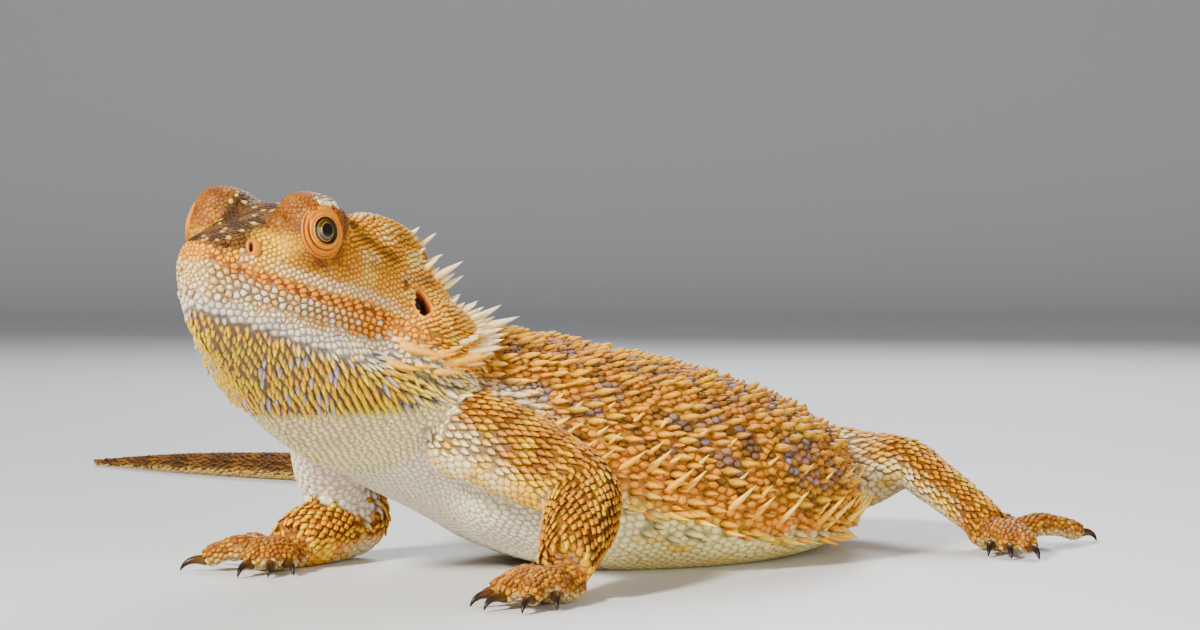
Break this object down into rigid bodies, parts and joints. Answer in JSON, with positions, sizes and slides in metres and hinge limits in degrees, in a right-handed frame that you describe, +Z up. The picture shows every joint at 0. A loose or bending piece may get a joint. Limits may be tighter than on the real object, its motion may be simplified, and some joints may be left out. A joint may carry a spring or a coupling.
{
  "type": "bearded dragon",
  "caption": "Bearded dragon lizard at life size, lying on its belly with the head raised and turned a little, spined beard, fringed flanks and a long tail.",
  "frame": {"origin": "on the floor under the middle of the trunk, at the flat of the belly", "axes": "+X towards the animal's left, -Y the way the head points, +Z up; the tail sweeps out towards -X, so the whole is longest along X and shortest along Z"},
  "size_m": [0.3472, 0.2154, 0.0764],
  "materials": {
    "skin": "dry scaly hide, orange-tan with brown blotches",
    "pale_skin": "dry scaly hide, cream to yellow",
    "claw": "dark polished horn",
    "eye": "wet gloss, dark pupil in a thin gold ring",
    "ear_drum": "thin dark membrane"
  },
  "bodies": {
    "root": {"beard": "pale_skin", "claw_front_left_1": "claw", "claw_front_left_2": "claw", "claw_front_left_3": "claw", "claw_front_left_4": "claw", "claw_front_left_5": "claw", "claw_front_right_1": "claw", "claw_front_right_2": "claw", "claw_front_right_3": "claw", "claw_front_right_4": "claw", "claw_front_right_5": "claw", "claw_hind_left_1": "claw", "claw_hind_left_2": "claw", "claw_hind_left_3": "claw", "claw_hind_left_4": "claw", "claw_hind_left_5": "claw", "claw_hind_right_1": "claw", "claw_hind_right_2": "claw", "claw_hind_right_3": "claw", "claw_hind_right_4": "claw", "claw_hind_right_5": "claw", "ear_drum_left": "ear_drum", "ear_drum_right": "ear_drum", "eye_left": "eye", "eye_right": "eye", "foot_left": "skin", "foot_right": "skin", "forearm_left": "skin", "forearm_right": "skin", "hand_left": "skin", "hand_right": "skin", "head": "skin", "lower_jaw": "pale_skin", "neck": "pale_skin", "shin_left": "skin", "shin_right": "skin", "tail_1": "skin", "tail_2": "skin", "tail_3": "skin", "tail_4": "skin", "thigh_left": "skin", "thigh_right": "skin", "trunk": "skin", "upper_arm_left": "skin", "upper_arm_right": "skin"}
  },
  "joints": []
}
